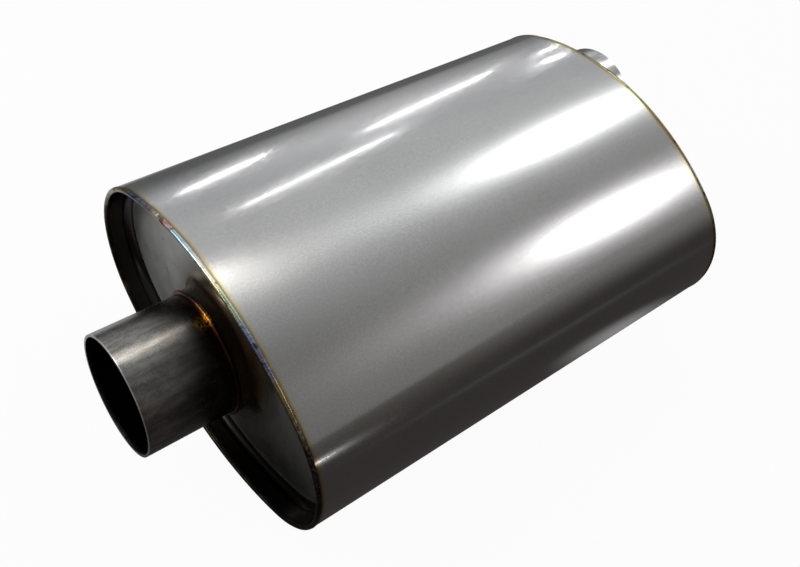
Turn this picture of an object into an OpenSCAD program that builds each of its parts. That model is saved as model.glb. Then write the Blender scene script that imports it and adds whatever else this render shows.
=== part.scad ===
// Oval exhaust muffler with a centre inlet and an offset outlet.
// The gas runs along +X from the mouth of the inlet neck, which is the origin.
// +Z is up: the case lies on one of its wide faces. The outlet is set over towards +Y.

/* [Case] */
// Length of the case from rim to rim
case_l = 355.6; // [330:1:400]
// Width of the oval across its long axis
case_w = 253.4; // [244:0.2:270]
// Height of the oval across its short axis
case_h = 162.2; // [154:0.2:172]
// Radius of the oval's two tight ends
end_r = 64; // [58:1:68]
// Thickness of the rolled case sheet
wrap_t = 1.2; // [0.9:0.1:2]
// Gap between the butted edges of the rolled sheet, filled by the seam weld
seam_gap = 1.6; // [1:0.1:3]

/* [End caps] */
// Thickness of the pressed cap sheet
cap_t = 1.5; // [1.2:0.1:2]
// Depth of the cap's flat face behind the rim
cap_depth = 18; // [16:0.5:24]
// Radius of the cap's outer bend, on the side that shows
cap_bend_r = 7; // [4:0.5:8]
// Radius at the foot of the drawn collar, on the side that shows
collar_bend_r = 9; // [6:0.5:10]
// Distance from the rim back to the collar's lip
lip_depth = 2; // [1.8:0.1:4]

/* [Necks] */
// Bore of both necks, a slip fit on 76.2 mm pipe
neck_bore = 76.4; // [76.2:0.1:77]
// Wall of both necks
neck_t = 1.65; // [1.5:0.05:2.5]
// Length of each neck outside the rim
neck_out = 56; // [50:1:80]
// Length of each neck behind the cap's plate
neck_in = 16; // [14:1:24]
// Distance of the outlet's axis from the inlet's axis
outlet_y = 57.5; // [54:0.5:60]

/* [Perforated core] */
// Wall of the perforated core tube
core_t = 1.5; // [1.2:0.1:2]
// Length of core that slips over the inner end of each neck
core_lap = 10; // [6:1:11]
// Distance along the axis in which the core's two bends step over to the outlet
offset_l = 172.5; // [165:0.5:185]
// Diameter of a perforation
hole_d = 7; // [4:0.5:8]
// Perforations in one ring
ring_holes = 12; // [8:1:14]
// Distance between rings of perforations along the axis
ring_pitch = 14; // [12:1:20]
// Root gap between core tubes, filled by the joint weld
root_gap = 2; // [1.5:0.1:3]

/* [Packing] */
// Thickness of the steel wool round the core
wool_t = 4; // [2:0.5:6]
// Gap between the upper and lower batts of glass packing
batt_gap = 0.6; // [0.3:0.1:2]

/* [Welds] */
// Radius of the edge bead that joins a cap to the case
rim_bead_r = 1.9; // [1.8:0.1:2.2]
// Height that the rim bead stands proud of the case
rim_bead_proud = 0.4; // [0.2:0.1:0.6]
// Distance from the rim back to the edges of the sheets inside the bead
edge_set = 1; // [0.8:0.1:1.4]
// Radius of the bead that joins a neck to its collar
neck_bead_r = 1.6; // [1.5:0.1:2]
// Radius of the bead that joins the core to a neck
core_bead_r = 1.3; // [1:0.1:1.5]
// Height that a core joint weld stands proud of the tube
joint_proud = 0.3; // [0.1:0.1:0.5]

/* [Clearances] */
// Radial gap between two tubes or sheets that slip together
slip_gap = 0.1; // [0.05:0.05:0.2]
// Gap between soft packing and the steel round it
soft_gap = 0.6; // [0.3:0.1:1]

/* [Hidden] */
$fn = 96;

// The oval: two tight end arcs and two flat arcs that meet on the lines through their centres
half_w = case_w / 2;
half_h = case_h / 2;
end_off = half_w - end_r;
flat_r = (end_off * end_off + half_h * half_h - end_r * end_r) / (2 * (half_h - end_r));
flat_off = flat_r - half_h;

// Along the axis
front_x = neck_out;
rear_x = neck_out + case_l;
overall_l = case_l + 2 * neck_out;
neck_l = neck_out + cap_depth + cap_t + neck_in;

// Radii round an axis
neck_ir = neck_bore / 2;
neck_or = neck_ir + neck_t;
collar_ir = neck_or + slip_gap;
collar_or = collar_ir + cap_t;
foot_r = collar_or + collar_bend_r;
core_ir = neck_or + slip_gap;
core_or = core_ir + core_t;
wool_ir = core_or + soft_gap;
wool_or = wool_ir + wool_t;

// How far each surface of a cap lies inside the case's outer line
cap_inset = wrap_t + slip_gap;
plate_inset = cap_inset + cap_t + cap_bend_r;
bead_c = rim_bead_r - rim_bead_proud;

// How far a bore's cut runs past the faces that it opens
overrun = core_t;

// The core's path: straight, a bend towards +Y, an equal bend back, straight
bend_r = (offset_l * offset_l + outlet_y * outlet_y) / (4 * outlet_y);
bend_a = 2 * atan(outlet_y / offset_l);
core_x0 = neck_l - core_lap;
core_x1 = overall_l - core_x0;
bend_x0 = (overall_l - offset_l) / 2;
bend_x1 = bend_x0 + offset_l;
tube_l = bend_x0 - root_gap - core_x0;
pack_x0 = front_x + cap_depth + cap_t + soft_gap;

// Turns shop axes (width, height, length) to the muffler's own (Y, Z, X)
module lay() {
    rotate([90, 0, 90]) children();
}

// Stands work on the front rim, measured inwards from it
module at_front() {
    translate([front_x, 0, 0]) lay() children();
}

// Stands work on the rear rim, measured inwards from it
module at_rear() {
    translate([rear_x, 0, 0]) mirror([1, 0, 0]) lay() children();
}

// Flat shape from the end arc's centre to well beyond the oval's tight end
module end_wedge() {
    polygon([[end_off, 0], [3 * end_off, 2 * flat_off], [3 * end_off, -2 * flat_off]]);
}

// Flat shape from the line between the end arcs' centres to well beyond the oval's flat side
module flat_wedge() {
    polygon([[-end_off, 0], [end_off, 0], [3 * end_off, 2 * flat_off], [-3 * end_off, 2 * flat_off]]);
}

// The case's oval, moved inwards by inset all the way round
module oval(inset) {
    for (side = [0, 1]) mirror([side, 0]) intersection() {
        translate([end_off, 0]) circle(r = end_r - inset);
        end_wedge();
    }
    for (side = [0, 1]) mirror([0, side]) intersection() {
        translate([0, -flat_off]) circle(r = flat_r - inset);
        flat_wedge();
    }
}

// Carries a profile round the oval: its x is 0 on the case's outer line and negative inside
module round_oval() {
    for (side = [0, 1]) mirror([side, 0, 0]) intersection() {
        translate([end_off, 0, 0]) rotate_extrude() translate([end_r, 0]) children();
        translate([0, 0, -cap_depth]) linear_extrude(3 * cap_depth) end_wedge();
    }
    for (side = [0, 1]) mirror([0, side, 0]) intersection() {
        translate([0, -flat_off, 0]) rotate_extrude() translate([flat_r, 0]) children();
        translate([0, 0, -cap_depth]) linear_extrude(3 * cap_depth) flat_wedge();
    }
}

// Quarter of a ring in the first quadrant, inner radius r and thickness t
module quarter_ring(r, t) {
    intersection() {
        difference() {
            circle(r = r + t);
            circle(r = r);
        }
        square(r + t);
    }
}

// Tube along local Z from z0 to z1
module tube(ro, ri, z0, z1) {
    translate([0, 0, z0]) difference() {
        cylinder(r = ro, h = z1 - z0);
        translate([0, 0, -overrun]) cylinder(r = ri, h = z1 - z0 + 2 * overrun);
    }
}

// Rolled case sheet, open along the butted seam underneath
module case_wrap() {
    color([0.74, 0.75, 0.77]) at_front() translate([0, 0, edge_set])
        linear_extrude(case_l - 2 * edge_set) difference() {
            oval(0);
            oval(wrap_t);
            translate([-seam_gap / 2, -case_h]) square([seam_gap, case_h]);
        }
}

// Weld that fills the seam, planished flush
module case_seam_weld() {
    color([0.68, 0.66, 0.62]) at_front() translate([0, 0, edge_set])
        linear_extrude(case_l - 2 * edge_set) intersection() {
            difference() {
                translate([0, flat_off]) circle(r = flat_r);
                translate([0, flat_off]) circle(r = flat_r - wrap_t);
            }
            translate([-seam_gap / 2, -case_h]) square([seam_gap, case_h]);
        }
}

// Section of the cap's flange and outer bend
module flange_profile() {
    bend_x = -cap_inset - cap_t - cap_bend_r;
    bend_y = cap_depth - cap_bend_r;
    translate([-cap_inset - cap_t, edge_set]) square([cap_t, bend_y - edge_set]);
    translate([bend_x, bend_y]) quarter_ring(cap_bend_r, cap_t);
}

// Section of the collar drawn out round the neck
module collar_profile() {
    foot_y = cap_depth - collar_bend_r;
    translate([collar_ir, lip_depth]) square([cap_t, foot_y - lip_depth]);
    translate([foot_r, foot_y]) mirror([1, 0]) quarter_ring(collar_bend_r, cap_t);
}

// Pressed cap: flange, rounded bend, flat plate and a collar at neck_y
module end_cap(neck_y) {
    round_oval() flange_profile();
    translate([0, 0, cap_depth]) linear_extrude(cap_t) difference() {
        oval(plate_inset);
        translate([neck_y, 0]) circle(r = foot_r);
    }
    translate([neck_y, 0, 0]) rotate_extrude() collar_profile();
}

module front_end_cap() {
    color([0.46, 0.46, 0.48]) at_front() end_cap(0);
}

module rear_end_cap() {
    color([0.46, 0.46, 0.48]) at_rear() end_cap(outlet_y);
}

// Edge bead that wraps the ends of the case sheet and the cap's flange
module rim_weld() {
    round_oval() difference() {
        translate([-bead_c, rim_bead_r]) circle(r = rim_bead_r);
        translate([-cap_inset - cap_t, edge_set]) square([cap_inset + cap_t, case_h]);
    }
}

module front_rim_weld() {
    color([0.66, 0.63, 0.56]) at_front() rim_weld();
}

module rear_rim_weld() {
    color([0.62, 0.55, 0.38]) at_rear() rim_weld();
}

// Round neck with its mouth on local Z = 0
module neck() {
    tube(neck_or, neck_ir, 0, neck_l);
}

module inlet_neck() {
    color([0.52, 0.49, 0.47]) lay() neck();
}

module outlet_neck() {
    color([0.70, 0.69, 0.68]) translate([overall_l, outlet_y, 0]) mirror([1, 0, 0]) lay() neck();
}

// Bead at local Z = 0 on the end face of a sleeve, round the neck that it holds
module lap_bead(sleeve_r, bead_r) {
    rotate_extrude() difference() {
        translate([(neck_or + sleeve_r) / 2, 0]) circle(r = bead_r);
        translate([0, -neck_or]) square([neck_or, 2 * neck_or]);
        square([sleeve_r, neck_or]);
    }
}

// Bead on the collar's lip, against the neck
module neck_weld() {
    translate([0, 0, lip_depth]) lap_bead(collar_or, neck_bead_r);
}

module inlet_neck_weld() {
    color([0.55, 0.38, 0.18]) at_front() neck_weld();
}

module outlet_neck_weld() {
    color([0.55, 0.38, 0.18]) at_rear() translate([outlet_y, 0, 0]) neck_weld();
}

// One perforation through the wall at local Z = 0, pointing along angle a
module perforation(a) {
    rotate([0, 0, a]) translate([core_ir - core_t, 0, 0]) rotate([0, 90, 0])
        cylinder(d = hole_d, h = 3 * core_t);
}

// Ring of perforations, turned by half a step on every second ring
module hole_ring(i) {
    for (k = [0 : ring_holes - 1]) perforation((k + (i % 2) / 2) * 360 / ring_holes);
}

// Straight perforated tube: its first ring lies clear of the lap on the neck
module perforated_tube() {
    first = core_lap + hole_d;
    rings = floor((tube_l - first - hole_d) / ring_pitch) + 1;
    difference() {
        tube(core_or, core_ir, 0, tube_l);
        for (i = [0 : rings - 1]) translate([0, 0, first + i * ring_pitch]) hole_ring(i);
    }
}

// Half of the offset: a round bar or tube that leaves the inlet's axis and turns towards +Y
module half_offset() {
    intersection() {
        translate([bend_x0, bend_r, 0]) rotate_extrude() translate([bend_r, 0]) children();
        translate([0, 0, -case_h / 2]) linear_extrude(case_h)
            polygon([[bend_x0, bend_r], [bend_x0, -bend_r], [bend_x1, outlet_y - bend_r]]);
    }
}

// The same half and its twin, turned half round about the middle of the offset
module both_halves() {
    children();
    translate([bend_x0 + bend_x1, outlet_y, 0]) rotate([0, 0, 180]) children();
}

// Round bar along the core's whole path from x0 to its mirror place
module path_bar(r, x0) {
    both_halves() {
        half_offset() circle(r = r);
        translate([x0, 0, 0]) lay() cylinder(r = r, h = bend_x0 - x0);
    }
}

module core_front_tube() {
    color([0.62, 0.61, 0.60]) translate([core_x0, 0, 0]) lay() perforated_tube();
}

module core_rear_tube() {
    color([0.62, 0.61, 0.60]) translate([core_x1, outlet_y, 0]) mirror([1, 0, 0]) lay()
        perforated_tube();
}

// Rings of perforations along one bend, square to its centre line
module bend_perforations() {
    rings = floor(bend_r * bend_a * PI / 180 / ring_pitch);
    for (i = [0 : rings - 1]) translate([bend_x0, bend_r, 0])
        rotate([0, 0, (i + 0.5) * bend_a / rings - 90]) translate([bend_r, 0, 0])
            rotate([90, 0, 0]) hole_ring(i);
}

module core_offset_bend() {
    color([0.62, 0.61, 0.60]) difference() {
        both_halves() half_offset() difference() {
            circle(r = core_or);
            circle(r = core_ir);
        }
        both_halves() bend_perforations();
    }
}

// Weld that fills the root gap between two core tubes, crowned outside
module core_joint_weld() {
    rotate_extrude() intersection() {
        translate([core_ir, -root_gap]) square([core_t + joint_proud, root_gap]);
        translate([core_or + joint_proud - root_gap, -root_gap / 2]) circle(r = root_gap);
    }
}

module core_front_joint_weld() {
    color([0.55, 0.50, 0.42]) translate([bend_x0, 0, 0]) lay() core_joint_weld();
}

module core_rear_joint_weld() {
    color([0.55, 0.50, 0.42]) translate([bend_x1, outlet_y, 0]) mirror([1, 0, 0]) lay()
        core_joint_weld();
}

// Bead on the core's end face, against the neck
module core_weld() {
    translate([0, 0, core_x0]) lap_bead(core_or, core_bead_r);
}

module inlet_core_weld() {
    color([0.55, 0.50, 0.42]) lay() core_weld();
}

module outlet_core_weld() {
    color([0.55, 0.50, 0.42]) translate([overall_l, outlet_y, 0]) mirror([1, 0, 0]) lay() core_weld();
}

// Steel wool wrapped round the bare length of the core
module wool_wrap() {
    color([0.50, 0.50, 0.50]) both_halves() {
        half_offset() difference() {
            circle(r = wool_or);
            circle(r = wool_ir);
        }
        lay() tube(wool_or, wool_ir, neck_l, bend_x0);
    }
}

// One batt of glass packing: the case's inside above the middle plane, hollowed along the core's path
module packing() {
    difference() {
        translate([pack_x0, 0, 0]) lay() linear_extrude(overall_l - 2 * pack_x0) intersection() {
            oval(wrap_t + soft_gap);
            translate([-half_w, batt_gap / 2]) square([case_w, half_h]);
        }
        path_bar(wool_or + soft_gap, front_x);
    }
}

module upper_packing() {
    color([0.88, 0.84, 0.70]) packing();
}

module lower_packing() {
    color([0.88, 0.84, 0.70]) mirror([0, 0, 1]) packing();
}

case_wrap();
case_seam_weld();
front_end_cap();
rear_end_cap();
front_rim_weld();
rear_rim_weld();
inlet_neck();
outlet_neck();
inlet_neck_weld();
outlet_neck_weld();
core_front_tube();
core_offset_bend();
core_rear_tube();
core_front_joint_weld();
core_rear_joint_weld();
inlet_core_weld();
outlet_core_weld();
wool_wrap();
upper_packing();
lower_packing();
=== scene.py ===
import math
import bmesh
import bpy
from mathutils import Matrix, Vector, noise


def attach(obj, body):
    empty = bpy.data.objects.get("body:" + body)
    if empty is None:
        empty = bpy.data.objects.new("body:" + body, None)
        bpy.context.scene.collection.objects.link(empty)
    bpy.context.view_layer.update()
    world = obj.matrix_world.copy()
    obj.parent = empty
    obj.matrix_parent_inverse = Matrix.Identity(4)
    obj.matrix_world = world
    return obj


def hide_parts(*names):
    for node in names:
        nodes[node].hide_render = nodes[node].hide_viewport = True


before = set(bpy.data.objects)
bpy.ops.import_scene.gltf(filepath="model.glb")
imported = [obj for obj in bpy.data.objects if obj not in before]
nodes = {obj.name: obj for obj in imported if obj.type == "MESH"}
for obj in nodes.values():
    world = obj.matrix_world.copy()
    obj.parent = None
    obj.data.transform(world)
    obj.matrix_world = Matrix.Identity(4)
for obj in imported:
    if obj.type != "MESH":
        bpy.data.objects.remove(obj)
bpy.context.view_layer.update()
print("frame loaded with", len(nodes), "nodes")

mm = 0.001

# main sizes of the muffler, in metres, as in the CAD
muffler = {
    "endOff": 62.7 * mm, "endRadius": 64 * mm, "flatOff": 106.4 * mm, "flatRadius": 187.5 * mm,
    "frontRim": 56 * mm, "rearRim": 411.6 * mm, "length": 467.6 * mm, "outletY": 57.5 * mm,
    "wrap": 1.2 * mm, "capInset": 2.8 * mm, "neckRadius": 39.85 * mm,
}


# shader tools

class Wire:  # wraps a socket, so that sums on it read as plain maths
    def __init__(self, owner, socket):
        self.owner, self.socket = owner, socket

    def calc(self, operation, *values):
        inputs = dict(enumerate(values))
        return self.owner.add("Math", {"operation": operation}, inputs)

    def __add__(self, other): return self.calc("ADD", self, other)
    def __radd__(self, other): return self.calc("ADD", other, self)
    def __sub__(self, other): return self.calc("SUBTRACT", self, other)
    def __rsub__(self, other): return self.calc("SUBTRACT", other, self)
    def __mul__(self, other): return self.calc("MULTIPLY", self, other)
    def __rmul__(self, other): return self.calc("MULTIPLY", other, self)
    def __truediv__(self, other): return self.calc("DIVIDE", self, other)
    def __rtruediv__(self, other): return self.calc("DIVIDE", other, self)
    def __pow__(self, other): return self.calc("POWER", self, other)
    def __rpow__(self, other): return self.calc("POWER", other, self)
    def __abs__(self): return self.calc("ABSOLUTE", self)


class Sheet:  # the node tree of a material or of the world while it is made
    def __init__(self, owner):
        owner.use_nodes = True
        self.owner, self.tree = owner, owner.node_tree
        self.tree.nodes.clear()

    def add(self, kind, settings=None, inputs=None, output=0):
        made = self.tree.nodes.new("ShaderNode" + kind)
        for key, value in (settings or {}).items():
            if key == "stops":
                first, *between, last = value
                elements = made.color_ramp.elements
                elements[0].position, elements[-1].position = first[0], last[0]
                elements[0].color, elements[-1].color = (*first[1], 1), (*last[1], 1)
                for place, colour in between:
                    elements.new(place).color = (*colour, 1)
            else:
                setattr(made, key, value)
        for key, value in (inputs or {}).items():
            if isinstance(value, Wire):
                self.tree.links.new(value.socket, made.inputs[key])
            else:
                made.inputs[key].default_value = value
        return Wire(self, made.outputs[output]) if made.outputs else None

    def place(self):  # where a point lies in the muffler's own frame, in metres
        return self.add("TexCoord", output="Object")

    def part(self, vector, axis):
        return self.add("SeparateXYZ", {}, {0: vector}, axis)

    def stretch(self, vector, scale):
        return self.add("VectorMath", {"operation": "MULTIPLY"}, {0: vector, 1: scale})

    def gap(self, place, middle):
        return self.add("VectorMath", {"operation": "DISTANCE"}, {0: place, 1: middle}, 1)

    def cloud(self, vector, scale, detail=2.0, rough=0.5):
        sizes = {"Scale": scale, "Detail": detail, "Roughness": rough}
        return self.add("TexNoise", {}, {"Vector": vector, **sizes})

    def ease(self, value, low, high, start=0.0, end=1.0):
        return self.add("MapRange", {"interpolation_type": "SMOOTHSTEP"},
                        {0: value, 1: low, 2: high, 3: start, 4: end})

    def tint(self, share, first, second, mode="MIX"):
        first, second = (colour if isinstance(colour, Wire) else (*colour, 1) for colour in (first, second))
        return self.add("Mix", {"data_type": "RGBA", "blend_type": mode}, {0: share, 6: first, 7: second}, 2)

    def ramp(self, value, stops):
        return self.add("ValToRGB", {"stops": stops}, {0: value})

    def showsBackdrop(self):  # 1 for rays from the camera and for those that metal or glass sends on
        camera, glossy, through = (
            self.add("LightPath", output=f"Is {kind} Ray") for kind in ("Camera", "Glossy", "Transmission")
        )
        rays = camera + glossy + through
        return rays.calc("MINIMUM", rays, 1.0)

    def grit(self, height, strength, distance):  # fine relief, as a bent normal
        return self.add("Bump", {}, {"Strength": strength, "Distance": distance, "Height": height})

    def metal(self, fixed, **varied):
        inputs = {"Metallic": 1.0, **fixed}
        inputs.update({key.replace("_", " "): value for key, value in varied.items()})
        shader = self.add("BsdfPrincipled", {}, inputs)
        self.add("OutputMaterial", {}, {0: shader})
        return self.owner


weldStart = {"aside": 1.5 * mm, "full": 2 * mm, "gone": 7 * mm, "flecks": 650}


def amberSpot(sheet, place, x, axisY):  # where the weld was started, on top of the neck
    look = weldStart
    start = (x, axisY - look["aside"], muffler["neckRadius"])
    gap = sheet.gap(place, start)
    flecks = sheet.ease(sheet.cloud(place, look["flecks"], 2), 0.42, 0.56)
    return sheet.ease(gap, look["full"], look["gone"], 1.0, 0.0) * flecks


def newFinish(name):
    return Sheet(bpy.data.materials.new(name))


def axisRadius(sheet, place, axisY):  # distance from a neck's axis
    side, up = sheet.part(place, 1) - axisY, sheet.part(place, 2)
    return (side * side + up * up) ** 0.5


caseLook = {
    "steel": (0.62, 0.615, 0.61), "roughness": (0.13, 0.20), "grain": (700, 2600, 2600),
    "speckle": (700, 1100, 1100), "speckleTone": (0.40, 0.395, 0.39), "speckleShare": 0.22,
    "tintSet": 3 * mm, "tintReach": 4.5 * mm, "grainDepth": 0.004 * mm,
    # the sheet's bright skin, over its satin haze
    "skin": {"Coat Weight": 0.8, "Coat Roughness": 0.05, "Coat IOR": 1.6},
}


def caseSteel():
    look, sheet = caseLook, newFinish("satinCaseSteel")
    place = sheet.place()
    x = sheet.part(place, 0)
    front = x - (muffler["frontRim"] + look["tintSet"])
    rear = (muffler["rearRim"] - look["tintSet"]) - x
    nearest = sheet.add("Math", {"operation": "MINIMUM"}, {0: front, 1: rear})
    wobble = sheet.cloud(place, 60, 2) - 0.5
    heat = nearest / look["tintReach"] + wobble * 0.35
    heated = sheet.ramp(heat, [
        (0.0, (0.17, 0.12, 0.07)), (0.10, (0.32, 0.23, 0.10)), (0.26, (0.56, 0.45, 0.25)),
        (0.50, (0.64, 0.59, 0.47)), (1.0, look["steel"]),
    ])
    grain = sheet.cloud(sheet.stretch(place, look["grain"]), 1.0, 2)
    speckle = sheet.cloud(sheet.stretch(place, look["speckle"]), 1.0, 2)
    patch = sheet.cloud(place, 14, 3)
    specks = sheet.ease(speckle, 0.35, 0.65, 0.0, look["speckleShare"])
    heated = sheet.tint(specks, heated, look["speckleTone"])
    cloudy = sheet.ramp(patch, [(0.3, (0.3, 0.3, 0.3)), (0.7, (0.7, 0.7, 0.7))])
    shade = sheet.tint(0.10, heated, cloudy, "OVERLAY")
    rough = sheet.ease(grain, 0.38, 0.62, *look["roughness"]) + (patch - 0.5) * 0.06
    bump = sheet.grit(grain + speckle, 0.05, look["grainDepth"])
    return sheet.metal(look["skin"], Base_Color=shade, Roughness=rough, Normal=bump)


capLook = {
    "steel": (0.27, 0.272, 0.265), "light": (0.36, 0.362, 0.352), "roughness": 0.30, "smokedRoughness": 0.2,
    # metallic share of the smoked steel, then of the milled plate on its near and on its far side
    "metallic": (1.0, 0.92, 0.50),
    # painted shade for the recess: its flange wall, its bend and the darker near bend
    "wall": (0.045, 0.038, 0.036), "bend": (0.056, 0.048, 0.050), "nearBendShade": (0.014, 0.011, 0.009),
    "smoke": (0.13, 0.115, 0.085), "smokeReach": 17 * mm,
    # from the neck's wall outwards over the collar
    "collar": [
        (0.0, (0.030, 0.020, 0.012)), (0.20, (0.060, 0.034, 0.016)), (0.34, (0.12, 0.09, 0.05)),
        (0.52, (0.115, 0.095, 0.065)), (0.8, (0.15, 0.135, 0.105)),
    ],
}


def capSteel(axisY, plane, inward):
    look, sheet = capLook, newFinish("mottledCapSteel" + ("Front" if inward > 0 else "Rear"))
    place = sheet.place()
    depth = (sheet.part(place, 0) - plane) * inward
    radius = axisRadius(sheet, place, axisY)
    mottle = sheet.cloud(place, 90, 5, 0.65)
    blotch = sheet.cloud(place, 22, 3)
    metal = sheet.tint(sheet.ease(mottle * 0.6 + blotch * 0.4, 0.35, 0.65), look["steel"], look["light"])
    # painted shade darkens the flange wall near the rim and its bend, the near bend most; the collar round
    # the neck is smoked by the weld
    outer = sheet.ease(radius, 54 * mm, 58 * mm)
    toFar = sheet.part(place, 1) * inward
    # painted shade on the bend, darkest on its near side, and on the flange wall below
    bend = sheet.tint(sheet.ease(toFar, -30 * mm, 40 * mm), look["nearBendShade"], look["bend"])
    wall = sheet.tint(sheet.ease(depth + (blotch - 0.5) * 3 * mm, 10 * mm, 14 * mm), look["wall"], bend)
    onWall = sheet.ease(depth, 17.3 * mm, 17.9 * mm, 1.0, 0.0) * outer
    metal = sheet.tint(onWall, metal, wall)
    reach = (radius - muffler["neckRadius"]) / look["smokeReach"] + (blotch - 0.5) * 0.35
    collar = sheet.ramp(reach, look["collar"])
    metal = sheet.tint(sheet.ease(reach, 0.6, 1.5, 0.75, 0.0), metal, look["smoke"])
    onCollar = sheet.ease(reach, 0.5, 0.8, 1.0, 0.0)
    metal = sheet.tint(onCollar, metal, collar)
    milled = sheet.ease(onWall + onCollar * 0.5, 0.0, 1.0, 1.0, 0.0)  # the flat plate's dull mill finish
    smoked = look["smokedRoughness"]
    rough = smoked + milled * (look["roughness"] - smoked) + (mottle - 0.5) * 0.14
    clean, milledNear, milledFar = look["metallic"]
    dull = sheet.ease(toFar, -30 * mm, 90 * mm, clean - milledNear, clean - milledFar)
    metallic = clean - milled * dull - onCollar * 0.18
    bump = sheet.grit(mottle, 0.15, 0.02 * mm)
    return sheet.metal({}, Base_Color=metal, Metallic=metallic, Roughness=rough, Normal=bump)


neckLook = {
    # painted shade: the inlet neck's steel and light tones are painted dark, a shaded copy of the outlet's
    # lighter steel
    "steel": (0.20, 0.19, 0.175), "light": (0.40, 0.385, 0.37), "roughness": 0.27, "jaws": 12,
    # the bore's tone is painted shade inside the tube
    "boreShade": (0.012, 0.011, 0.010), "far": (0.035, 0.028, 0.022), "amber": (0.75, 0.36, 0.05),
    "brown": (0.10, 0.035, 0.012), "darkBrown": (0.05, 0.025, 0.014), "cutEdge": (0.86, 0.85, 0.83),
}


def neckSteel(name, axisY, mouth, inward, look):
    sheet = newFinish(name)
    place = sheet.place()
    depth = (sheet.part(place, 0) - mouth) * inward
    side, up = sheet.part(place, 1) - axisY, sheet.part(place, 2)
    angle = sheet.add("Math", {"operation": "ARCTAN2"}, {0: side, 1: up})
    turn = angle * (look["jaws"] / math.tau)
    jaw = abs(turn.calc("FRACT", turn) - 0.5) * 2
    jawLine = sheet.ease(jaw, 0.0, 0.22, 1.0, 0.0)
    streak = sheet.cloud(sheet.stretch(place, (60, 300, 300)), 1.0, 3)
    mottle = sheet.cloud(place, 150, 4, 0.6)
    speck = sheet.cloud(place, 900, 2)
    shade = sheet.ease(streak * 0.45 + mottle * 0.35 + speck * 0.2 + jawLine * 0.06, 0.36, 0.66)
    metal = sheet.tint(shade, look["steel"], look["light"])
    # painted shade darkens it towards the weld and the cap, brown and straw just in front of it
    # painted shade: the far tone is blended in over most of the neck's length
    darker = sheet.ease(depth + (mottle - 0.5) * 10 * mm, 8 * mm, 52 * mm, 0.0, 0.8)
    metal = sheet.tint(darker, metal, look["far"])
    heat = (57 * mm - depth) / (9 * mm) + (mottle - 0.5) * 0.5
    heated = sheet.ramp(heat, [(0.0, look["brown"]), (0.35, look["darkBrown"]), (1.0, look["far"])])
    metal = sheet.tint(sheet.ease(heat, 0.4, 1.0, 1.0, 0.0), metal, heated)
    metal = sheet.tint(amberSpot(sheet, place, mouth + 54.5 * inward * mm, axisY), metal, look["amber"])
    # painted shade: the bore is darkened to near black from just inside the mouth
    bore = sheet.ease(axisRadius(sheet, place, axisY), 38.6 * mm, 39.2 * mm, 1.0, 0.0)
    metal = sheet.tint(bore * sheet.ease(depth, 0.5 * mm, 3 * mm), metal, look["boreShade"])
    cutFace = sheet.ease(depth, 0.2 * mm, 0.5 * mm, 1.0, 0.0)
    metal = sheet.tint(cutFace, metal, look["cutEdge"])
    rough = look["roughness"] + (mottle - 0.5) * 0.16 - jawLine * 0.04
    bump = sheet.grit(streak + mottle * 0.5 + jawLine * 0.8, 0.25, 0.02 * mm)
    return sheet.metal({}, Base_Color=metal, Roughness=rough, Normal=bump)


beadLook = {
    "silver": (0.66, 0.66, 0.64), "roughness": 0.22, "smokedRoughness": 0.3,
    # smoke also tints the rims' random smoke patches; with the brown tone, it is the painted shade under the
    # rims
    "smoke": (0.030, 0.024, 0.018), "brownUnderShade": (0.12, 0.095, 0.045),
    "grit": (0.2, 0.03 * mm),  # strength and depth
}


def beadSteel(name, hue):  # oxide colours that wander along a bead
    look, sheet = beadLook, newFinish(name)
    place = sheet.place()
    colours = sheet.ramp(sheet.cloud(place, 48, 3, 0.55), hue)
    fine = sheet.cloud(place, 420, 3)
    metal = sheet.tint(sheet.ease(fine, 0.45, 0.75, 0.0, 0.3), colours, look["silver"])
    bump = sheet.grit(fine, *look["grit"])
    return sheet.metal({}, Base_Color=metal, Roughness=look["roughness"] + (fine - 0.5) * 0.15, Normal=bump)


def neckBeadSteel(name, x, axisY):  # smoked brown, with the amber start of the weld
    look, sheet = beadLook, newFinish(name)
    place = sheet.place()
    fine = sheet.cloud(place, 420, 3)
    colours = sheet.ramp(sheet.cloud(place, 70, 3, 0.55), amber)
    metal = sheet.tint(amberSpot(sheet, place, x, axisY), colours, neckLook["amber"])
    bump = sheet.grit(fine, *look["grit"])
    rough = look["smokedRoughness"] + (fine - 0.5) * 0.15
    return sheet.metal({}, Base_Color=metal, Roughness=rough, Normal=bump)


def rimSteel(name, hue):  # a rim's colours run along Y on top, and it is darkened underneath with painted shade
    look, sheet = beadLook, newFinish(name)
    place = sheet.place()
    wobble = sheet.cloud(place, 90, 3) - 0.5
    along = 0.5 - sheet.part(place, 1) / (256 * mm) + wobble * 0.09
    fine = sheet.cloud(place, 500, 3)
    colours = sheet.ramp(along, hue)
    colours = sheet.tint(sheet.ease(fine, 0.45, 0.7, 0.0, 0.35), colours, look["silver"])
    colours = sheet.tint(sheet.ease(sheet.cloud(place, 160, 2), 0.56, 0.66, 0.0, 0.8), colours, look["smoke"])
    # painted shade: the rim is darkened underneath, below about 34 mm up, in smoke and brown tones
    low = sheet.ease(sheet.part(place, 2) + wobble * 20 * mm, 8 * mm, 34 * mm, 1.0, 0.0)
    smoked = sheet.tint(sheet.ease(wobble, 0.0, 0.25), look["smoke"], look["brownUnderShade"])
    metal = sheet.tint(low, colours, smoked)
    bump = sheet.grit(fine, *look["grit"])
    return sheet.metal({}, Base_Color=metal, Roughness=look["roughness"] + (fine - 0.5) * 0.15, Normal=bump)


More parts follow.
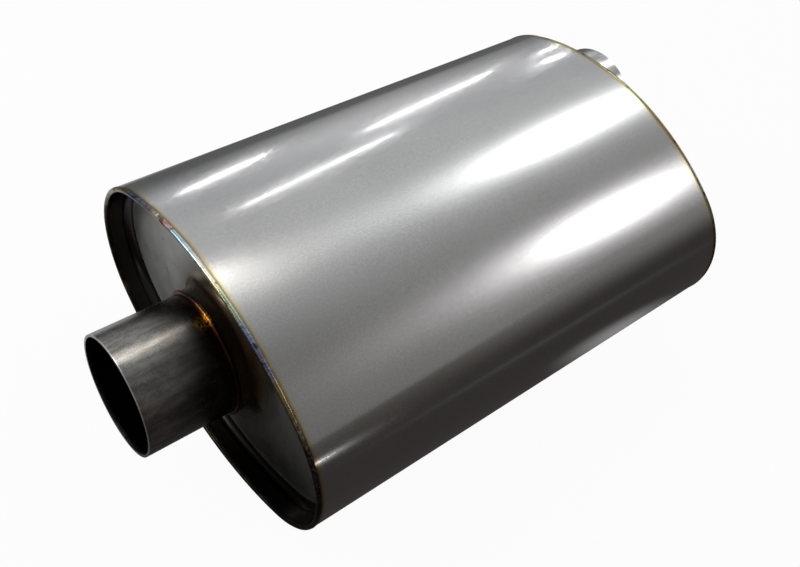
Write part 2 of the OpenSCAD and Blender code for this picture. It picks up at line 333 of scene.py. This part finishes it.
# what the edge welds run through, from the +Y end to the -Y end
rainbow = [
    (0.03, (0.40, 0.37, 0.26)), (0.11, (0.20, 0.17, 0.08)), (0.17, (0.09, 0.12, 0.24)),
    (0.24, (0.17, 0.13, 0.10)), (0.27, (0.72, 0.66, 0.54)), (0.30, (0.50, 0.17, 0.11)),
    (0.36, (0.36, 0.55, 0.62)), (0.43, (0.62, 0.70, 0.74)), (0.51, (0.76, 0.72, 0.46)),
    (0.58, (0.36, 0.42, 0.24)), (0.66, (0.20, 0.26, 0.40)), (0.74, (0.20, 0.17, 0.24)),
    (0.80, (0.34, 0.28, 0.12)), (0.90, (0.11, 0.075, 0.05)), (0.97, (0.05, 0.04, 0.03)),
]
oliveGold = [
    (0.05, (0.20, 0.18, 0.10)), (0.20, (0.30, 0.27, 0.13)), (0.40, (0.38, 0.35, 0.18)),
    (0.58, (0.30, 0.26, 0.11)), (0.66, (0.62, 0.36, 0.14)), (0.74, (0.50, 0.30, 0.12)),
    (0.79, (0.26, 0.30, 0.38)), (0.86, (0.34, 0.32, 0.20)), (0.97, (0.10, 0.09, 0.04)),
]
# round the necks: brown and dark red
amber = [
    (0.30, (0.020, 0.012, 0.008)), (0.46, (0.045, 0.022, 0.012)), (0.56, (0.10, 0.028, 0.014)),
    (0.64, (0.16, 0.07, 0.02)), (0.70, (0.04, 0.025, 0.018)),
]
# inside and underneath: grey with a little blue and straw
greyBlue = [
    (0.30, (0.30, 0.30, 0.32)), (0.45, (0.26, 0.30, 0.42)),
    (0.55, (0.46, 0.38, 0.26)), (0.70, (0.55, 0.54, 0.52)),
]


coreLook = {"steel": (0.46, 0.45, 0.44), "light": (0.58, 0.57, 0.56), "roughness": 0.32}


def coreSteel():
    look, sheet = coreLook, newFinish("perforatedCoreSteel")
    place = sheet.place()
    mottle = sheet.cloud(place, 110, 4, 0.6)
    metal = sheet.tint(sheet.ease(mottle, 0.35, 0.65), look["steel"], look["light"])
    bump = sheet.grit(mottle, 0.2, 0.02 * mm)
    return sheet.metal({}, Base_Color=metal, Roughness=look["roughness"] + (mottle - 0.5) * 0.2, Normal=bump)


woolLook = {
    "deep": (0.12, 0.12, 0.12), "light": (0.48, 0.47, 0.46), "roughness": 0.45, "strands": (900, 120, 120),
}


def woolSteel():
    look, sheet = woolLook, newFinish("woundSteelWool")
    place = sheet.place()
    strand = sheet.cloud(sheet.stretch(place, look["strands"]), 1.0, 5, 0.7)
    metal = sheet.tint(sheet.ease(strand, 0.35, 0.65), look["deep"], look["light"])
    bump = sheet.grit(strand, 0.9, 0.6 * mm)
    return sheet.metal({}, Base_Color=metal, Roughness=look["roughness"] + (strand - 0.5) * 0.3, Normal=bump)


fibreLook = {
    "deep": (0.66, 0.60, 0.44), "light": (0.90, 0.87, 0.76), "roughness": 0.85, "strands": (160, 420, 420),
    "fixed": {"Metallic": 0.0, "Sheen Weight": 0.3},
}


def glassFibre():
    look, sheet = fibreLook, newFinish("glassFibrePacking")
    place = sheet.place()
    fibre = sheet.cloud(sheet.stretch(place, look["strands"]), 1.0, 6, 0.75)
    tuft = sheet.cloud(place, 40, 3)
    colour = sheet.tint(sheet.ease(fibre * 0.6 + tuft * 0.4, 0.35, 0.65), look["deep"], look["light"])
    bump = sheet.grit(fibre, 0.8, 1 * mm)
    rough = look["roughness"] + (fibre - 0.5) * 0.1
    return sheet.metal(look["fixed"], Base_Color=colour, Roughness=rough, Normal=bump)


# shapes

def lay(name, verts, faces, material):
    mesh = bpy.data.meshes.new(name)
    mesh.from_pydata(verts, [], faces)
    mesh.validate()
    form = bmesh.new()
    form.from_mesh(mesh)
    bmesh.ops.recalc_face_normals(form, faces=form.faces)
    form.to_mesh(mesh)
    form.free()
    mesh.shade_smooth()
    piece = bpy.data.objects.new(name, mesh)
    bpy.context.scene.collection.objects.link(piece)
    mesh.materials.append(material)
    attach(piece, "root")
    return piece


def loft(name, rings, material):  # closes rings of points into a ring-shaped solid
    count = len(rings[0])
    verts = [point for ring in rings for point in ring]
    faces = []
    for i in range(len(rings)):
        j = (i + 1) % len(rings)
        for k in range(count):
            m = (k + 1) % count
            faces.append((i * count + k, i * count + m, j * count + m, j * count + k))
    return lay(name, verts, faces, material)


def ovalPath(step, gap=0.0):
    # points, outward directions and run at even steps round the case, from the seam underneath
    sizes = muffler
    endHalf = math.atan2(sizes["flatOff"], sizes["endOff"])
    flatHalf, bottom = math.pi / 2 - endHalf, math.pi * 1.5
    seam = gap / 2 / sizes["flatRadius"]
    arcs = [
        (0, sizes["flatOff"], sizes["flatRadius"], bottom + seam, bottom + flatHalf),
        (sizes["endOff"], 0, sizes["endRadius"], -endHalf, endHalf),
        (0, -sizes["flatOff"], sizes["flatRadius"], endHalf, math.pi - endHalf),
        (-sizes["endOff"], 0, sizes["endRadius"], math.pi - endHalf, math.pi + endHalf),
        (0, sizes["flatOff"], sizes["flatRadius"], bottom - flatHalf, bottom - seam),
    ]
    path, run = [], 0.0
    for cy, cz, radius, start, end in arcs:
        count = max(2, round(radius * (end - start) / step))
        last = count + 1 if gap and end == bottom - seam else count
        for i in range(last):
            a = start + (end - start) * i / count
            out = (math.cos(a), math.sin(a))
            point = (cy + radius * out[0], cz + radius * out[1])
            path.append((*point, *out, run + radius * (a - start)))
        run += radius * (end - start)
    return path, run


caseSheet = {"step": 1.2 * mm, "seam": 1.6 * mm, "edgeSet": 1 * mm, "lengths": 8, "sharp": 40}


def makeCaseWrap(material):  # the rolled sheet once more, fine enough for clean reflections
    look = caseSheet
    path = ovalPath(look["step"], look["seam"])[0]
    start, end = muffler["frontRim"] + look["edgeSet"], muffler["rearRim"] - look["edgeSet"]
    rows = [start + (end - start) * i / look["lengths"] for i in range(look["lengths"] + 1)]
    verts, faces = [], []
    for y, z, ny, nz, _ in path:
        inner = (y - ny * muffler["wrap"], z - nz * muffler["wrap"])
        verts += [(x, y, z) for x in rows] + [(x, *inner) for x in reversed(rows)]
    count = 2 * len(rows)
    for i in range(len(path) - 1):
        for k in range(count):
            m = (k + 1) % count
            faces.append((i * count + k, i * count + m, (i + 1) * count + m, (i + 1) * count + k))
    for i in (0, len(path) - 1):  # the two butted edges
        for k in range(len(rows) - 1):
            faces.append(tuple(i * count + n for n in (k, k + 1, count - 2 - k, count - 1 - k)))
    piece = lay("case_wrap_sheet", verts, faces, material)
    piece.data.set_sharp_from_angle(angle=math.radians(look["sharp"]))
    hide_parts("case_wrap")
    return piece


rimBead = {
    "radius": 1.9 * mm, "inset": 1.5 * mm, "edgeSet": 1 * mm, "ripple": 1.35 * mm,
    "rippleDepth": 0.16 * mm, "rippleBow": 0.9, "stepsPerRipple": 5, "arcPoints": 11,
}


def rippleHeight(run, pitch, bend, seedShift):
    # one crest per ripple, steep on one side, with its depth varied from ripple to ripple
    phase = run / pitch + bend
    number = math.floor(phase)
    share = phase - number
    vary = 0.6 + 0.4 * noise.noise(Vector((number * 0.37, seedShift, 0.0)))
    return (share ** 1.6) * vary


def makeRimWeld(name, rim, inward, material, seedShift):
    look = rimBead
    path, total = ovalPath(look["ripple"] / look["stepsPerRipple"])
    ripples = round(total / look["ripple"])
    pitch = total / ripples
    radius, middle = look["radius"], look["inset"]
    toeOut = math.atan2(math.sqrt(radius ** 2 - middle ** 2), -middle)
    back = muffler["capInset"] - middle
    toeIn = math.atan2(math.sqrt(radius ** 2 - back ** 2), back) - math.tau
    rings = []
    for y, z, ny, nz, run in path:
        ring = []
        for k in range(look["arcPoints"] + 1):
            u = k / look["arcPoints"]
            a = toeOut + (toeIn - toeOut) * u
            bend = look["rippleBow"] * (2 * u - 1) ** 2
            fade = math.sin(math.pi * u) ** 0.5
            r = radius - look["rippleDepth"] * fade * (1 - rippleHeight(run, pitch, bend, seedShift))
            inset, depth = middle + r * math.cos(a), radius + r * math.sin(a)
            ring.append((rim + inward * depth, y - ny * inset, z - nz * inset))
        for inset in (muffler["capInset"], 0.0):
            ring.append((rim + inward * look["edgeSet"], y - ny * inset, z - nz * inset))
        rings.append(ring)
    piece = loft(name + "_ripples", rings, material)
    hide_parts(name)
    return piece


ringBead = {
    "inner": 39.85 * mm, "outer": 41.45 * mm, "ripple": 1.4 * mm, "rippleDepth": 0.15 * mm,
    "rippleBow": 0.8, "stepsPerRipple": 5, "arcPoints": 9,
}
ringPlaces = {  # on which axis and where along it, which way is inward, and the bead's radius
    "inlet_neck_weld": (0.0, 58 * mm, 1, 1.6 * mm),
    "outlet_neck_weld": (57.5 * mm, 409.6 * mm, -1, 1.6 * mm),
    "inlet_core_weld": (0.0, 81.5 * mm, 1, 1.3 * mm),
    "outlet_core_weld": (57.5 * mm, 386.1 * mm, -1, 1.3 * mm),
}


def makeRingWeld(name, material, seedShift):
    look = ringBead
    axisY, x, inward, bead = ringPlaces[name]
    middle, half = (look["inner"] + look["outer"]) / 2, (look["outer"] - look["inner"]) / 2
    toe = math.sqrt(bead ** 2 - half ** 2)
    startAngle, endAngle = math.atan2(-toe, -half), math.atan2(toe, half)
    steps = round(math.tau * look["outer"] / look["ripple"]) * look["stepsPerRipple"]
    rings = []
    for i in range(steps):
        turn = math.tau * i / steps
        ring = []
        for k in range(look["arcPoints"] + 1):
            u = k / look["arcPoints"]
            a = startAngle + (endAngle - startAngle) * u
            fade = math.sin(math.pi * u) ** 0.5
            bend = look["rippleBow"] * (2 * u - 1) ** 2
            lift = rippleHeight(i / look["stepsPerRipple"], 1.0, bend, seedShift)
            r = bead - look["rippleDepth"] * fade * (1 - lift)
            ring.append((r * math.sin(a), middle + r * math.cos(a)))
        ring += [(0.0, look["outer"]), (0.0, look["inner"])]
        side, up = math.cos(turn), math.sin(turn)
        rings.append([(x + inward * depth, axisY + radius * side, radius * up) for depth, radius in ring])
    piece = loft(name + "_ripples", rings, material)
    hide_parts(name)
    return piece


# the wound wool and the packing

corePath = {"start": 91.5 * mm, "bendStart": 147.55 * mm, "bendRadius": 143.75 * mm, "end": 376.1 * mm}


def coreStations(step):  # points and headings at even steps along the core's centre line
    path, offset = corePath, muffler["outletY"]
    bendEnd = muffler["length"] - path["bendStart"]
    turn = 2 * math.atan2(offset, bendEnd - path["bendStart"])
    radius, stations = path["bendRadius"], []
    straight = path["bendStart"] - path["start"]
    count = round(straight / step)
    stations += [(path["start"] + straight * i / count, 0.0, 0.0) for i in range(count)]
    count = round(radius * turn / step)
    for i in range(count):
        a = turn * i / count
        stations.append((path["bendStart"] + radius * math.sin(a), radius * (1 - math.cos(a)), a))
    for i in range(count):
        a = turn * (1 - i / count)
        stations.append((bendEnd - radius * math.sin(a), offset - radius * (1 - math.cos(a)), a))
    straight = path["end"] - bendEnd
    count = round(straight / step)
    stations += [(bendEnd + straight * i / count, offset, 0.0) for i in range(count + 1)]
    return stations


wool = {
    "inner": 42.15 * mm, "outer": 45.95 * mm, "step": 1.5 * mm, "sides": 84,
    "strandPitch": 8 * mm, "strandDepth": 1.0 * mm, "fuzz": 0.5 * mm,
}


def makeWool(material):  # a flat strand of wool wound round the core, each turn bulging a little
    look = wool
    outerRings, innerRings = [], []
    for n, (x, y, heading) in enumerate(coreStations(look["step"])):
        along = n * look["step"] / look["strandPitch"]
        outerRing, innerRing = [], []
        for k in range(look["sides"]):
            a = math.tau * k / look["sides"]
            side, up = math.cos(a), math.sin(a)
            bulge = abs(math.sin(math.pi * (along - k / look["sides"]))) ** 0.5
            fuzz = 0.5 + 0.5 * noise.noise(Vector((n * 0.6, side * 9, up * 9)))
            r = look["outer"] - look["strandDepth"] * (1 - bulge) - look["fuzz"] * fuzz
            for ring, radius in ((outerRing, r), (innerRing, look["inner"])):
                out = side * radius
                ring.append((x - math.sin(heading) * out, y + math.cos(heading) * out, up * radius))
        outerRings.append(outerRing)
        innerRings.insert(0, innerRing)
    piece = loft("wool_wrap_strand", outerRings + innerRings, material)
    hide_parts("wool_wrap")
    return piece


batt = {"voxel": 4 * mm, "inset": 0.5 * mm, "tuft": 1.2 * mm, "tuftScale": 90, "fill": 0.8}


def makeBatt(name, material, seedShift):  # the batt's form with its skin pulled in by tufts
    look = batt
    piece = bpy.data.objects.new(name + "_batt", nodes[name].data.copy())
    bpy.context.scene.collection.objects.link(piece)
    felted = piece.modifiers.new("felted", "REMESH")
    felted.mode, felted.voxel_size = "VOXEL", look["voxel"]
    smoothed = piece.modifiers.new("smoothed", "SMOOTH")
    smoothed.iterations = 2
    mesh = bpy.data.meshes.new_from_object(piece.evaluated_get(bpy.context.evaluated_depsgraph_get()))
    piece.modifiers.clear()
    piece.data = mesh
    for vertex in mesh.vertices:
        tuft = 0.5 + 0.5 * noise.noise(vertex.co * look["tuftScale"] + Vector((seedShift, 0, 0)))
        vertex.co -= vertex.normal * (look["inset"] + look["tuft"] * tuft)
    mesh.shade_smooth()
    mesh.materials.clear()
    mesh.materials.append(material)
    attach(piece, "root")
    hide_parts(name)
    return piece


# finishes on the CAD nodes

def dress(name, material):
    node = nodes[name]
    node.data.materials.clear()
    node.data.materials.append(material)


rainbowBead = rimSteel("rainbowBead", rainbow)
oliveBead = rimSteel("oliveBead", oliveGold)
hiddenBead = beadSteel("greyBead", greyBlue)

outletLook = {  # the outlet gets a lighter copy of the neck's steel, painted light beside the inlet's painted shade
    **neckLook, "roughness": 0.14,
    "steel": (0.55, 0.55, 0.54), "light": (0.78, 0.78, 0.77), "far": (0.50, 0.49, 0.46),
}

makeCaseWrap(caseSteel())
dress("case_seam_weld", hiddenBead)
dress("front_end_cap", capSteel(0.0, muffler["frontRim"], 1))
dress("rear_end_cap", capSteel(muffler["outletY"], muffler["rearRim"], -1))
dress("inlet_neck", neckSteel("inletNeckSteel", 0.0, 0.0, 1, neckLook))
outletSteel = neckSteel("outletNeckSteel", muffler["outletY"], muffler["length"], -1, outletLook)
dress("outlet_neck", outletSteel)
core = coreSteel()
for name in ("core_front_tube", "core_offset_bend", "core_rear_tube"):
    dress(name, core)
for name in ("core_front_joint_weld", "core_rear_joint_weld"):
    dress(name, hiddenBead)
print("CAD nodes dressed")

makeWool(woolSteel())
packing = glassFibre()
makeBatt("upper_packing", packing, 0.0)
makeBatt("lower_packing", packing, 30.0)
print("core wound and packed")

makeRimWeld("front_rim_weld", muffler["frontRim"], 1, rainbowBead, 3.0)
makeRimWeld("rear_rim_weld", muffler["rearRim"], -1, oliveBead, 8.0)
makeRingWeld("inlet_neck_weld", neckBeadSteel("inletBead", 56.5 * mm, 0.0), 12.0)
makeRingWeld("outlet_neck_weld", neckBeadSteel("outletBead", 411.1 * mm, muffler["outletY"]), 17.0)
makeRingWeld("inlet_core_weld", hiddenBead, 21.0)
makeRingWeld("outlet_core_weld", hiddenBead, 26.0)
print("welds laid")


# the studio

floor = {"size": 30.0, "z": -81.6 * mm, "colour": (0.9, 0.9, 0.9), "ownLight": 0.955}


def studioFloor():
    sheet = newFinish("paleFloor")
    paint = sheet.add("BsdfDiffuse", {}, {"Color": (*floor["colour"], 1)})
    glow = sheet.add("Emission", {}, {"Color": (1, 1, 1, 1), "Strength": 1.0})
    both = sheet.add("MixShader", {}, {0: sheet.showsBackdrop() * floor["ownLight"], 1: paint, 2: glow})
    sheet.add("OutputMaterial", {}, {0: both})
    return sheet.owner


def flatSheet(name, corners, material):
    mesh = bpy.data.meshes.new(name)
    mesh.from_pydata(corners, [], [tuple(range(len(corners)))])
    sheet = bpy.data.objects.new(name, mesh)
    mesh.materials.append(material)
    bpy.context.scene.collection.objects.link(sheet)
    return sheet


reach = floor["size"] / 2
corners = [(reach * x, reach * y, floor["z"]) for x, y in ((-1, -1), (1, -1), (1, 1), (-1, 1))]
flatSheet("floor", corners, studioFloor())

# the room: a white backdrop, which lights the set only a little, grey overhead and darker on the left
room = {
    "backdrop": (0.985, 0.985, 0.985), "low": (0.10, 0.10, 0.10),
    "frontLeft": (0.17, 0.167, 0.165), "left": (0.27, 0.268, 0.268), "right": (0.57, 0.58, 0.585),
    # where one passes into the next: along X, along Y and upwards
    "frontEdge": (0.2, 0.6), "rightEdge": (-0.3, 0.45), "skyline": (0.2, 0.4),
}

# two big umbrellas and a small one overhead: direction and lean in degrees, then the glow, width
# and reach in degrees of the core and of the tail
umbrellas = {
    "right": {
        "azimuth": 24.6, "height": 43.5, "lean": -34,
        "core": (5.0, 4.9, 4.4), "tail": (1.0, 7, 10), "colour": (0.96, 1.0, 0.99),
    },
    "rim": {
        "azimuth": 49.5, "height": 58.4, "lean": -42,
        "core": (1.0, 9, 2.2), "tail": (0.0, 7, 5), "colour": (1.0, 0.96, 0.92),
    },
    "left": {
        "azimuth": -25.6, "height": 43.0, "lean": 45,
        "core": (5.0, 4.9, 3.6), "tail": (1.5, 7, 5.5), "colour": (1.0, 0.975, 0.99),
    },
}


def pointing(azimuth, height):  # a direction from two angles in degrees
    a, e = math.radians(azimuth), math.radians(height)
    return Vector((math.cos(e) * math.cos(a), math.cos(e) * math.sin(a), math.sin(e)))


def umbrellaGlow(sky, direction, lamp):
    a, lean = math.radians(lamp["azimuth"]), math.radians(lamp["lean"])
    away = pointing(lamp["azimuth"], lamp["height"])
    level = Vector((-math.sin(a), math.cos(a), 0))
    across = level * math.cos(lean) + away.cross(level) * math.sin(lean)
    shares = [
        sky.add("VectorMath", {"operation": "DOT_PRODUCT"}, {0: direction, 1: axis}, 1)
        for axis in (across, away.cross(across), away)
    ]
    p, q = shares[0] * math.degrees(1), shares[1] * math.degrees(1)
    strength, width, reach = lamp["core"]
    core = strength * math.e ** (-1 * ((p / width) * (p / width) + (q / reach) * (q / reach)))
    strength, width, reach = lamp["tail"]
    tail = strength * math.e ** (-1 * ((p / width) * (p / width) + abs(q) / reach))
    glow = (core + tail) * sky.ease(shares[2], 0.5, 0.8)  # gone by 60 degrees from its middle
    return sky.add("VectorMath", {"operation": "SCALE"}, {0: lamp["colour"], "Scale": glow})


world = bpy.data.worlds.new("studioRoom")
bpy.context.scene.world = world
sky = Sheet(world)
direction = sky.add("TexCoord", output="Generated")
left = sky.tint(sky.ease(sky.part(direction, 0), *room["frontEdge"]), room["frontLeft"], room["left"])
overhead = sky.tint(sky.ease(sky.part(direction, 1), *room["rightEdge"]), left, room["right"])
horizon = sky.tint(sky.showsBackdrop(), room["low"], room["backdrop"])
shade = sky.tint(sky.ease(sky.part(direction, 2), *room["skyline"]), horizon, overhead)
for lamp in umbrellas.values():
    shade = sky.add("VectorMath", {"operation": "ADD"}, {0: shade, 1: umbrellaGlow(sky, direction, lamp)})
sky.add("OutputWorld", {}, {0: sky.add("Background", {}, {"Color": shade, "Strength": 1.0})})


def hangLamp(name, shape, size, glow, colour, place, turn):  # glow is the lamp's own radiance
    light = bpy.data.lights.new(name, "AREA")
    light.shape, light.size, light.size_y = shape, size[0], size[1]
    area = size[0] * size[1] * (math.pi / 4 if shape == "DISK" else 1.0)
    light.energy = glow * math.pi * area
    light.color = colour
    holder = bpy.data.objects.new(name, light)
    holder.location = place
    holder.rotation_mode = "QUATERNION"
    holder.rotation_quaternion = turn
    holder.visible_camera = False
    bpy.context.scene.collection.objects.link(holder)


# smaller round lamps: direction from the case in degrees, distance, radius and radiance
target = Vector((0.30, 0.0, 0.05))
fillLamps = {
    "frontFill": {
        "azimuth": 75, "height": 60, "distance": 2.95,
        "radius": 0.36, "glow": 3.7, "colour": (1.0, 0.97, 0.92),
    },
    "backFill": {
        "azimuth": 140, "height": 24, "distance": 3.0,
        "radius": 0.5, "glow": 14, "colour": (1.0, 1.0, 1.0),
    },
    "sideGlint": {
        "azimuth": -79.5, "height": 8, "distance": 1.64,
        "radius": 0.035, "glow": 5, "colour": (1.0, 0.98, 0.96),
    },
}
for name, lamp in fillLamps.items():
    away = pointing(lamp["azimuth"], lamp["height"])
    hangLamp(name, "DISK", (2 * lamp["radius"],) * 2, lamp["glow"], lamp["colour"],
             target + away * lamp["distance"], away.to_track_quat("Z", "Y"))

# slim tube lamps on the right, each from one end's x and z to the other's: they draw the thin bright
# lines along the case's shoulder and the two small glints far off by the outlet
tubes = {
    "nearTube": {"ends": ((0.42, 0.235), (0.57, 0.168)), "glow": 15},
    "middleTube": {"ends": ((0.80, 0.365), (1.08, 0.25)), "glow": 15},
    "upperTube": {"ends": ((0.58, 0.715), (0.90, 0.57)), "glow": 13},
    "farGlint": {"ends": ((1.22, 0.238), (1.265, 0.258)), "glow": 22},
    "farLowGlint": {"ends": ((1.25, 0.39), (1.32, 0.44)), "glow": 20},
}
tubeLook = {"y": 1.0, "width": 0.013, "colour": (1.0, 1.0, 1.0)}
for name, tube in tubes.items():
    first, last = (Vector((x, tubeLook["y"], z)) for x, z in tube["ends"])
    along = last - first
    back = Vector((0, 1, 0))
    facing = Matrix((along.normalized(), back.cross(along).normalized(), back)).transposed()
    hangLamp(name, "RECTANGLE", (along.length, tubeLook["width"]), tube["glow"], tubeLook["colour"],
             (first + last) / 2, facing.to_quaternion())

# a low tent round the set that glows with painted light and painted shade, standing in for a lit and shaded
# room: only the metal sees it, and it stays out of the picture
tent = {
    "middleX": 0.23, "radius": 1.8, "height": 0.95, "sides": 48, "lift": 1 * mm,
    # where its tones pass into each other: along Y for the far top and from left to right, and upwards
    "farEdge": (-1.7, -1.15), "rightEdge": (-0.2, 0.5), "darkFrom": 0.1, "rightRise": (-0.1, 0.45),
    "darkSide": (0.045, 0.040, 0.039), "lightSide": (0.12, 0.122, 0.125),
    "farTop": (0.09, 0.082, 0.075), "darkTop": (0.27, 0.26, 0.25), "lightTop": (0.52, 0.53, 0.55),
    # painted pools of light: middle, radius and how much they add
    "paintedLightPools": [
        ((0.375, -0.15, -0.08), 0.085, 0.24), ((0.75, -0.90, -0.08), 0.45, 0.05),
        ((0.03, 0.20, -0.08), 0.22, 0.50), ((1.15, 1.54, 0.12), 0.75, 0.28),
        ((2.03, 0.0, 0.25), 0.80, 0.40),
    ],
}


def makeTent():
    look, sheet = tent, newFinish("tentPaintedGlow")
    place = sheet.place()
    height = sheet.part(place, 2)
    across = sheet.part(place, 1)
    leftTop = sheet.tint(sheet.ease(across, *look["farEdge"]), look["farTop"], look["darkTop"])
    left = sheet.tint(sheet.ease(height, look["darkFrom"], look["height"]), look["darkSide"], leftTop)
    right = sheet.tint(sheet.ease(height, *look["rightRise"]), look["lightSide"], look["lightTop"])
    tone = sheet.tint(sheet.ease(across, *look["rightEdge"]), left, right)
    for middle, radius, share in look["paintedLightPools"]:
        pooledLight = sheet.ease(sheet.gap(place, middle), 0.0, radius, share, 0.0)
        tone = sheet.tint(pooledLight, tone, (1, 1, 1), "ADD")
    sheet.add("OutputMaterial", {}, {0: sheet.add("Emission", {}, {"Color": tone, "Strength": 1.0})})
    count, base, radius = look["sides"], floor["z"] + look["lift"], look["radius"]
    turns = [math.tau * i / count for i in range(count)]
    ring = [(radius * math.cos(turn) + look["middleX"], radius * math.sin(turn)) for turn in turns]
    verts = [(*point, z) for z in (base, look["height"]) for point in ring]
    faces = [tuple(range(count))]
    faces += [(i, (i + 1) % count, count + (i + 1) % count, count + i) for i in range(count)]
    mesh = bpy.data.meshes.new("paintedGlowTent")
    mesh.from_pydata(verts, [], faces)
    mesh.materials.append(sheet.owner)
    glowTent = bpy.data.objects.new("paintedGlowTent", mesh)
    bpy.context.scene.collection.objects.link(glowTent)
    glowTent.visible_camera = glowTent.visible_diffuse = glowTent.visible_shadow = False


makeTent()
print("studio lit")

# the camera, where the photographer stood
view = {
    "place": (-0.12989256, -0.27436142, 0.54240948), "turn": (39.70305608, -12.51955079, -38.33585474),
    "lens": 44.95586865, "shiftX": -30.625 / 800, "shiftY": -60.0 / 800,
}
lens = bpy.data.cameras.new("camera")
lens.lens, lens.sensor_width = view["lens"], 36
lens.shift_x, lens.shift_y = view["shiftX"], view["shiftY"]
lens.clip_start = 0.01
camera = bpy.data.objects.new("camera", lens)
camera.location = view["place"]
camera.rotation_euler = [math.radians(a) for a in view["turn"]]
bpy.context.scene.collection.objects.link(camera)
bpy.context.scene.camera = camera
bpy.context.scene.view_settings.view_transform = "Standard"
